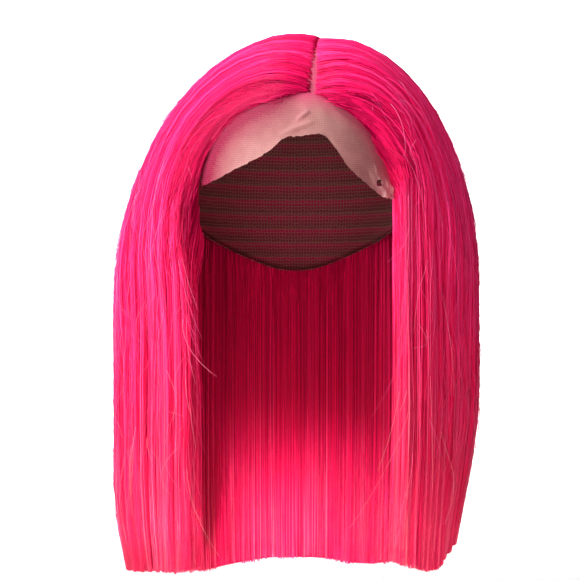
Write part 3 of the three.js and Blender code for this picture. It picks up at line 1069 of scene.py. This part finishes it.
def top_strands(name, relief, rng):
    """Paths, places and tones of a section's top strands. They gather into wisps, which wave a little, and
    the wisps into clumps. Each wisp lies in a layer, and deeper ones are darker, a painted shade. Roots cross
    the parting by a little, and tones vary by clump, by wisp and by strand, and are lower along the hairline,
    a painted shade."""
    count = TOP["count"][name]
    u = (np.arange(count) + rng.uniform(0, 1, count)) / count
    wisps = WISPS["in_lock"] * SECTIONS[name]["locks"]
    clumps = wisps // WISPS["in_clump"]
    wisp = np.minimum(np.floor(u * wisps).astype(int), wisps - 1)
    clump = wisp // WISPS["in_clump"]
    start, place = top_places(wisp, wisps, rng)
    across = gathered(u[:, None], place, wisp, wisps, clump, clumps, rng)
    layer, lift = layered(u[:, None], start[:, None], place, wisp, wisps, rng)
    reach = draw(rng, ROOT_REACH, count)
    points = clear_of_form(outside(name, relief, across, place, lift, reach), HAIR_SEAT)
    crossing = draw(rng, (-ROOT_CROSSING, ROOT_CROSSING), count)
    points[..., 0] += crossing * (1 - parting_height(place, reach))

    # Deeper layers get lower tones, a painted shade
    tone = TOP["tone"] + TOP["painted_shade_of_layer"] * (layer - np.mean(TOP["layer"]))
    tone = tone + rng.normal(0, TONE_SPREAD["clump"], clumps)[clump]
    tone = tone + rng.normal(0, TONE_SPREAD["wisp"], wisps)[wisp]
    tone = tone + rng.normal(0, TONE_SPREAD["strand"], count)
    tone = np.minimum(tone, TOP["palest"])
    # Less the painted shade along the hairline
    return points, place, tone[:, None] - root_shade(name, across, place)


def hair_section(name, seed, materials):
    """A section of hair: its body, which stands for the solid, and its top strands."""
    rng = np.random.default_rng(SEED + seed)
    relief = relief_field(name, rng)
    body = mass_object(name, relief, materials["mass"])
    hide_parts(f"hair_{name}")
    paths, place, tone = top_strands(name, relief, rng)
    radius = draw(rng, TOP["radius"], len(paths))
    strand_object(f"hair_{name}_strands", TOP, paths, place, tone, radius, rng, materials["strands"])
    return relief


def loose_strands(name, layer, paths, place, rng, material, shade=0.0):
    """One object of a layer of loose strands, each with its own radius and its own tone less a shade."""
    radius = draw(rng, layer["radius"], len(paths))
    tone = rng.normal(*layer["tone"], len(paths))[:, None] - shade
    strand_object(f"hair_{name}_strands", layer, paths, place, tone, radius, rng, material)


def underside_strands(rng, material):
    """Strands on the inside of the hair, from under the cap's rim to the hem, all the way round."""
    layer, count = UNDERSIDE, UNDERSIDE["count"]
    seam = SECTIONS["back"]["azimuths"][1]
    azimuth = draw(rng, layer["from_nape"], count) + 180
    azimuth = np.where(azimuth > seam, azimuth - 360, azimuth)
    first = draw(rng, layer["start"], count)
    uneven = smooth_noise(rng, layer["uneven_cells"])((azimuth + 360 - seam) / 360, 0 * azimuth)
    ragged = np.abs(rng.normal(0, layer["ragged"], count))[:, None]
    last = layer["end"] + layer["uneven"] * uneven - ragged
    place = lerp(first, last, np.linspace(0, 1, layer["points"]))
    noise = smooth_noise(rng, (count, layer["bends"]))
    wander = noise(draw(rng, (0, 1), count), place / NOISE_PLACES)
    depth = draw(rng, layer["depth"], count) + layer["depth_wander"] * wander
    azimuth = azimuth + layer["azimuth_wander"] * wander
    points = clear_of_form(hair_point(azimuth, place, depth), HAIR_SEAT)
    loose_strands("underside", layer, points, place, rng, material, inside_shade(place))


def face_edge_strands(rng, material):
    """Strands over the free edges beside the face, through the whole thickness of the hanging hair, along the
    slant of the left edge. They start on the lace, and a few of them flare out into the face opening on the
    way down. On the left they are darker, a painted shade, and paler towards the outside; on the right they
    are paler, a painted light; and near the lace all are darker, a painted shade."""
    layer, count = FACE_EDGE, FACE_EDGE["count"]
    end = layer["end"] - np.abs(rng.normal(0, layer["ragged"], count))
    start = rng.uniform(*layer["start"], count)
    place = strand_places(start, end, *layer["steps"])
    noise = smooth_noise(rng, (count, layer["bends"]))
    wander = noise(draw(rng, (0, 1), count), place / NOISE_PLACES)
    flaring = rng.uniform(0, 1, count) < layer["flaring_share"]
    flare = np.where(flaring, rng.exponential(layer["flare"], count), 0)[:, None]
    u = draw(rng, layer["across"], count) + layer["across_wander"] * wander
    u = u - flare * smoothstep(place, *layer["flares_over"])
    on_left = draw(rng, (0, 1), count) < 0.5
    depth = draw(rng, layer["depth"], count)
    slanted = u + EDGE_SLANT["left"] * (1 - depth)
    azimuth = np.where(on_left, strand_azimuth("left", slanted, place), strand_azimuth("right", u, place))
    points = hair_point(azimuth, place, depth + layer["depth_wander"] * wander)
    free = smoothstep(place - start[:, None], *layer["leaves_lace"])[..., None]
    points = lerp(on_lace(points, ROOT_SEAT), clear_of_form(points, HAIR_SEAT), free)
    # Painted shade on the -X side, deepest inward, painted light on the +X side, and painted shade near the
    # lace
    painted_light_and_shade_tone = np.where(on_left, lerp(*layer["left_tone_and_painted_shade"], depth), layer["right_tone_and_painted_light"])
    shade = layer["root_shade"] * (1 - smoothstep(place, *layer["shade_fades"])) - painted_light_and_shade_tone
    loose_strands("face_edge", layer, points, place, rng, material, shade)


def flyaway_strands(rng, material):
    """Single hairs that leave the free edges beside the face and bend away into the face opening: a swing
    that grows along them by a power."""
    layer, count = FLYAWAY, FLYAWAY["count"]
    share = np.linspace(0, 1, layer["points"])
    place = draw(rng, layer["start"], count) + draw(rng, layer["length"], count) * share
    swing = layer["least_swing"] + rng.exponential(layer["more_swing"], count)[:, None]
    u = layer["across"] - swing * share ** draw(rng, layer["power"], count)
    on_left = draw(rng, (0, 1), count) < 0.5
    azimuth = np.where(on_left, strand_azimuth("left", u, place), strand_azimuth("right", u, place))
    points = hair_point(azimuth, place, draw(rng, layer["depth"], count) + layer["rise"] * share)
    loose_strands("flyaway", layer, points, place, rng, material)


def hairline_strands(rng, reliefs, material):
    """Fine roots along the hairline: they leave the lace a little in front of the hair, run along its edge
    and gain on it by a power until they lie in its round front. Their low tone is a painted shade along the
    hairline."""
    layer = HAIRLINE_ROOTS
    share = np.linspace(0, 1, layer["points"])
    number = layer["count"] // len(HAIRLINES)
    paths, places = [], []
    for name in HAIRLINES:
        begin = draw(rng, (0, 1), number) ** layer["crowding"] * layer["last_start"]
        place = begin + draw(rng, layer["length"], number) * share
        first = layer["front"] - np.abs(rng.normal(0, SECTIONS[name]["fuzz"], number))[:, None]
        u = lerp(first, draw(rng, layer["across"], number), share ** layer["gain"])
        lift = draw(rng, layer["lift"], number)
        paths.append(outside(name, reliefs[name], u, place, lift))
        places.append(place)
    loose_strands("hairline", layer, np.concatenate(paths), np.concatenate(places), rng, material)


def stray_strands(rng, reliefs, material):
    """Fine strays that lift off the hair, cross it at a slant and bend: a slant that grows along them by a
    power, and a lift and a bend that follow a sine."""
    layer = STRAY
    share = np.linspace(0, 1, layer["points"])
    number = layer["count"] // len(SECTIONS)
    paths, places = [], []
    for name in SECTIONS:
        length = draw(rng, layer["length"], number)
        place = np.clip(draw(rng, layer["start"], number) + length * share, 0, layer["end"])
        slant = rng.normal(0, layer["slant"], number)[:, None] * share ** layer["slant_power"]
        bend = rng.normal(0, layer["bend"], number)[:, None] * np.sin(np.pi * share)
        u = np.clip(draw(rng, (0, 1), number) + slant + bend, 0, 1)
        loose = np.abs(rng.normal(0, layer["loose"], number))[:, None]
        lift = layer["lift"] + loose * np.sin(np.pi * share * draw(rng, layer["arch"], number))
        paths.append(outside(name, reliefs[name], u, place, lift))
        places.append(place)
    loose_strands("stray", layer, np.concatenate(paths), np.concatenate(places), rng, material)


# Cap and lace pieces


def lace_fold(azimuth, polar):
    """Height of the lace's folds: ridges along straight lines between two places by azimuth and polar angle,
    highest halfway."""
    height = 0
    for fold in LACE_FOLDS:
        begin, line = fold["begin"], np.subtract(fold["end"], fold["begin"])
        right, down = azimuth - begin[0], polar - begin[1]
        share = (right * line[0] + down * line[1]) / (line @ line)
        aside = (right * line[1] - down * line[0]) / np.hypot(*line)
        ridge = np.exp(-((aside / fold["half_width"]) ** 2))
        height = height + fold["rise"] * np.sin(np.pi * np.clip(share, 0, 1)) * ridge
    return height


def root_blush(vertices):
    """Share of dye in the lace, which where the blush is deep is also painted shade under the hair's edge:
    the most of it at the hairline, fading out by a power over a reach that changes from the parting to the
    temple."""
    place = np.linspace(*BLUSH["hairline"], BLUSH["seats"])
    changes = smoothstep(place, *BLUSH["reach_changes_over"])
    bare = 1.0
    for name in HAIRLINES:
        seats = on_lace(hair_point(strand_azimuth(name, 0.0, place), place, 1.0), 0)
        full, none = (lerp(*BLUSH[end][name], changes) for end in ("full", "none"))
        gap = np.linalg.norm(vertices[:, None] - seats, axis=2)
        bare = np.minimum(bare, np.clip((gap - full) / (none - full), 0, 1).min(axis=1))
    return (1 - bare) ** BLUSH["power"]


def dye_is_pale(vertices):
    """Share of the paler dye in the lace: all of it from the parting to the +X side, and less and less on the
    other side, where the deep blush, partly painted shade, takes its place."""
    aside = parting_x(vertices[:, 1]) - vertices[:, 0]
    return 1 - smoothstep(aside, *BLUSH["deepens"])


def round_hole(azimuth, polar):
    """Places in the lace's worn hole moved straight out to its rim, and which they are."""
    across, down = azimuth - LACE_HOLE["azimuth"], polar - LACE_HOLE["polar"]
    radius = np.hypot(across, down)
    outwards = np.maximum(LACE_HOLE["radius"] / np.maximum(radius, 1e-6), 1)
    inside = radius < LACE_HOLE["radius"]
    return LACE_HOLE["azimuth"] + across * outwards, LACE_HOLE["polar"] + down * outwards, inside


def lace_band(rng):
    """The band over the forehead, from its lap on the cap to a cut edge with fine notches, with its folds,
    and with a crumpled, worn tab at the +X temple that has a small hole: a grid by azimuth and polar angle on
    the cap's form. Beside the points it gives their flat places, how worn they are and which lie in the
    hole."""
    columns, rows = LACE_GRID
    first, last = LACE_TRIM["azimuth"][0], LACE_TRIM["azimuth"][-1]
    azimuth = np.linspace(first, last, columns)[:, None]
    share = np.linspace(0, 1, rows)[None, :]
    over, down = np.broadcast_arrays((azimuth - first) / (last - first), share)
    notches = LACE_NOTCH["size"] * smooth_noise(rng, LACE_NOTCH["cells"])(over[:, -1:], 0 * azimuth)
    top = curve_through(CAP_RIM, "polar", np.abs(azimuth)) - LACE_LAP
    polar = lerp(top, curve_through(LACE_TRIM, "polar", azimuth) + notches, share)
    crumple = smoothstep(azimuth, *LACE_TAB["azimuth"]) * smoothstep(share, *LACE_TAB["share"])
    azimuth, polar, in_hole = round_hole(azimuth, polar)
    creases = smooth_noise(rng, LACE_TAB["creases"])(over, down)
    ripple = LACE_RIPPLE["rise"] * smooth_noise(rng, LACE_RIPPLE["cells"])(over, down)
    lift = LACE_LIFT + lace_fold(azimuth, polar) + LACE_TAB["rise"] * crumple * (1 + creases) + ripple
    flat = flat_places(azimuth, polar, LACE_FLAT["radii"])
    return form_point(azimuth, polar, lift), flat, LACE_TAB["worn"] * crumple, in_hole


def lace_arm():
    """The arm back under the parting: a grid over a strip in plan, lifted off the cap's form."""
    half, (columns, rows) = PART_STRIP["half_width"], PART_STRIP["grid"]
    y = np.linspace(PART_STRIP["front_y"], PART_STRIP["back_y"], rows)[None, :]
    x = parting_x(y) + np.linspace(-half, half, columns)[:, None]
    return crown_point(x, y + 0 * x, lace_height(x, y)), pairs(x, y)


def lace_object(material):
    """The lace front: its band, less the faces and points in its hole, and its arm, as one sheet of net."""
    band, band_flat, band_worn, in_hole = lace_band(np.random.default_rng(SEED + LACE_SEED))
    arm, arm_flat = lace_arm()
    vertices = np.concatenate([band.reshape(-1, 3), arm.reshape(-1, 3)])
    flat = np.concatenate([band_flat.reshape(-1, 2), arm_flat.reshape(-1, 2)])
    worn = np.concatenate([band_worn.reshape(-1), np.zeros(arm[..., 0].size)])
    on_arm = np.arange(len(vertices)) >= in_hole.size
    blush = np.maximum(root_blush(vertices), BLUSH["at_parting"] * on_arm)
    pale = np.maximum(dye_is_pale(vertices), on_arm)

    band_quads = grid_quads(grid_numbers(band))
    band_quads = band_quads[~in_hole.reshape(-1)[band_quads].all(axis=1)]
    quads = np.concatenate([band_quads, grid_quads(grid_numbers(arm, in_hole.size))])
    used, quads = np.unique(quads, return_inverse=True)
    uv = {"strand": flat, "roots": pairs(blush, pale), "wear": pairs(worn, 0 * worn)}
    uv = {name: values[used] for name, values in uv.items()}
    piece = new_object("lace_front_net", vertices[used], quads.reshape(-1, 4), None, uv, material, "lace")
    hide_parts("lace_front")


def cap_object(material):
    """The cap: a wall from the crown to its rim, on its form, with a turned edge inside."""
    columns, rows = CAP_GRID
    azimuth = np.linspace(-180, 180, columns)[:, None]
    share = np.linspace(0, 1, rows)[None, :]
    polar = share * curve_through(CAP_RIM, "polar", np.abs(azimuth))
    inside = CAP_WALL["inside"] - CAP_WALL["turned_edge"] * smoothstep(share, *CAP_WALL["edge_starts"])
    outer, inner = (form_point(azimuth, polar, outwards) for outwards in (CAP_WALL["outside"], inside))
    vertices, quads = shell(outer, inner)
    flat = flat_places(azimuth, polar, CAP_FLAT["radii"]).reshape(-1, 2)
    uv = {"strand": np.concatenate([flat, flat])}
    piece = new_object("cap_net_shell", vertices, quads, None, uv, material, "cap_net")
    weld(piece.data)
    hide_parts("cap")


# Stage


def make_stage():
    """A pale floor that sweeps up into a wall behind: a profile of a line, a quarter circle and a line,
    carried along X. It doesn't mirror in the gloss of the hair."""
    turn = np.linspace(0, np.pi / 2, SWEEP_BEND["rows"])
    bend, far = SWEEP_BEND["radius"], SWEEP_BEND["starts"]
    y = np.concatenate([[SWEEP["front"]], far + bend * np.sin(turn), [far + bend]])
    z = np.concatenate([[0.0], bend * (1 - np.cos(turn)), [SWEEP["height"]]]) + FLOOR_Z
    x = np.array([-SWEEP["half_width"], SWEEP["half_width"]])
    points = np.stack(np.broadcast_arrays(x[:, None], y[None, :], z[None, :]), axis=-1) / MM
    quads = grid_quads(grid_numbers(points))
    sweep = new_object("pale_sweep", points.reshape(-1, 3), quads, material=stage_material())
    sweep.visible_glossy = False


def area_light(name, place, aim, size, power, colour, spread):
    """A square soft light at a place, turned to face the point that it aims at. The camera doesn't see it,
    and only some lights show in gloss."""
    data = bpy.data.lights.new(name, "AREA")
    data.size, data.energy, data.color, data.spread = size, power, colour, np.radians(spread)
    lamp = bpy.data.objects.new(name, data)
    bpy.context.collection.objects.link(lamp)
    lamp.location = place
    lamp.visible_camera = False
    lamp.visible_glossy = name in GLOSS_LIGHTS
    way = np.subtract(aim, place)
    lamp.rotation_euler = (np.arccos(-way[2] / np.linalg.norm(way)), 0, np.arctan2(way[0], -way[1]) + np.pi)


def make_room():
    """A room that the camera sees white and that lights little."""
    world = bpy.data.worlds.new("soft_room")
    world.use_nodes = True
    tree = world.node_tree
    room = tree.nodes["Background"]
    room.inputs["Color"].default_value = (1, 1, 1, 1)
    rays = tree.nodes.new("ShaderNodeLightPath")
    strength = map_range(tree, after=(ROOM_LIGHT, ROOM_SEEN))
    wire(tree, [(rays, "Is Camera Ray", strength, "Value"), (strength, "Result", room, "Strength")])
    bpy.context.scene.world = world
    bpy.context.scene.view_settings.view_transform = "Standard"


def make_camera():
    """The camera at the photograph's angle, level."""
    data = bpy.data.cameras.new("camera")
    data.sensor_width = CAMERA["sensor"]
    data.lens = CAMERA["sensor"] * CAMERA["focal_px"] / CAMERA["frame_px"]
    camera = bpy.data.objects.new("camera", data)
    bpy.context.collection.objects.link(camera)
    camera.location = CAMERA["place"]
    camera.rotation_euler = (np.pi / 2, 0, 0)
    bpy.context.scene.camera = camera


def make_wig():
    """Every piece of the wig. Each layer of strands has its own seed."""
    dye, net = dye_group(), net_group()
    materials = {"strands": strand_material(dye), "mass": mass_material(dye)}
    reliefs = {name: hair_section(name, number, materials) for number, name in enumerate(SECTIONS)}
    for layer, make in (
        (UNDERSIDE, underside_strands),
        (FACE_EDGE, face_edge_strands),
        (FLYAWAY, flyaway_strands),
    ):
        make(np.random.default_rng(SEED + layer["seed"]), materials["strands"])
    for layer, make in ((HAIRLINE_ROOTS, hairline_strands), (STRAY, stray_strands)):
        make(np.random.default_rng(SEED + layer["seed"]), reliefs, materials["strands"])
    cap_object(cap_material(net))
    lace_object(lace_material(net))


make_stage()
for light_name, light in LIGHTS.items():
    area_light(light_name, *light)
make_room()
make_camera()
make_wig()
